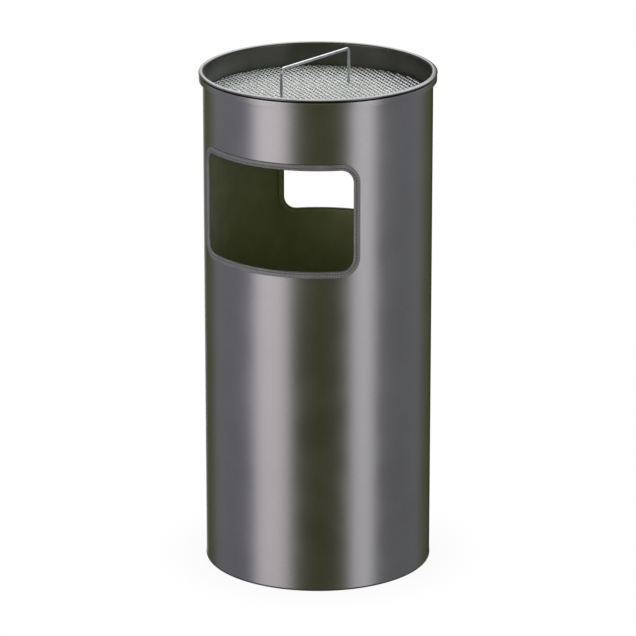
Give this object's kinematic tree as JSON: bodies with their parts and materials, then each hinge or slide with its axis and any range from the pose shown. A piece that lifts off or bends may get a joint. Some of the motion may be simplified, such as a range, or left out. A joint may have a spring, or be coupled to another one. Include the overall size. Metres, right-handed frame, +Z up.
{
  "type": "litter bin",
  "caption": "Round metal litter bin with throw-in openings front and rear, a sand ash dish with a lift-out sieve on top and a removable liner with a folding bail.",
  "frame": {"origin": "on the floor, on the bin's vertical axis", "axes": "+Z up, front throw-in opening towards -Y, rear opening towards +Y, liner lugs at +X and -X"},
  "size_m": [0.3476, 0.3476, 0.7652],
  "materials": {
    "shell_coat": "satin metallic graphite powder coat",
    "dish_coat": "satin metallic graphite powder coat, bright worn lip",
    "base_coat": "satin powder coat",
    "trim_profile": "ribbed grey edge profile, satin",
    "floor_ring_plastic": "black moulded plastic, matt",
    "sand": "pale dry quartz sand",
    "sieve_zinc": "bright zinc-plated steel mesh",
    "handle_zinc": "bright zinc-plated steel wire",
    "liner_zinc": "galvanised sheet with soft spangle",
    "liner_wire_zinc": "galvanised steel wire",
    "rivet_zinc": "zinc-plated, satin"
  },
  "bodies": {
    "housing": {"outer_shell": "shell_coat", "base_plate": "base_coat", "floor_ring": "floor_ring_plastic", "front_opening_trim": "trim_profile", "rear_opening_trim": "trim_profile"},
    "liner": {"liner_wall": "liner_zinc", "liner_base": "liner_zinc", "liner_rim_wire": "liner_wire_zinc", "liner_lug_left": "liner_zinc", "liner_lug_right": "liner_zinc", "rivet_left_lower": "rivet_zinc", "rivet_left_upper": "rivet_zinc", "rivet_right_lower": "rivet_zinc", "rivet_right_upper": "rivet_zinc"},
    "bail": {"liner_bail": "liner_wire_zinc"},
    "dish_unit": {"ash_dish": "dish_coat", "sand_bed": "sand"},
    "sieve_unit": {"sieve_mesh": "sieve_zinc", "sieve_handle": "handle_zinc", "sieve_washer_front": "handle_zinc", "sieve_washer_rear": "handle_zinc"}
  },
  "joints": [
    {"name": "liner_lift", "type": "slide", "parent": "housing", "child": "liner", "axis": [0, 0, 1], "range_m": [0, 0.76]},
    {"name": "liner_bail_swing", "type": "hinge", "parent": "liner", "child": "bail", "pos_m": [0, 0, 0.3735], "axis": [-1, 0, 0], "range_deg": [0, 186]},
    {"name": "ash_dish_lift", "type": "slide", "parent": "liner", "child": "dish_unit", "axis": [0, 0, 1], "range_m": [0, 0.3]},
    {"name": "sieve_lift", "type": "slide", "parent": "dish_unit", "child": "sieve_unit", "axis": [0, 0, 1], "range_m": [0, 0.15]}
  ]
}
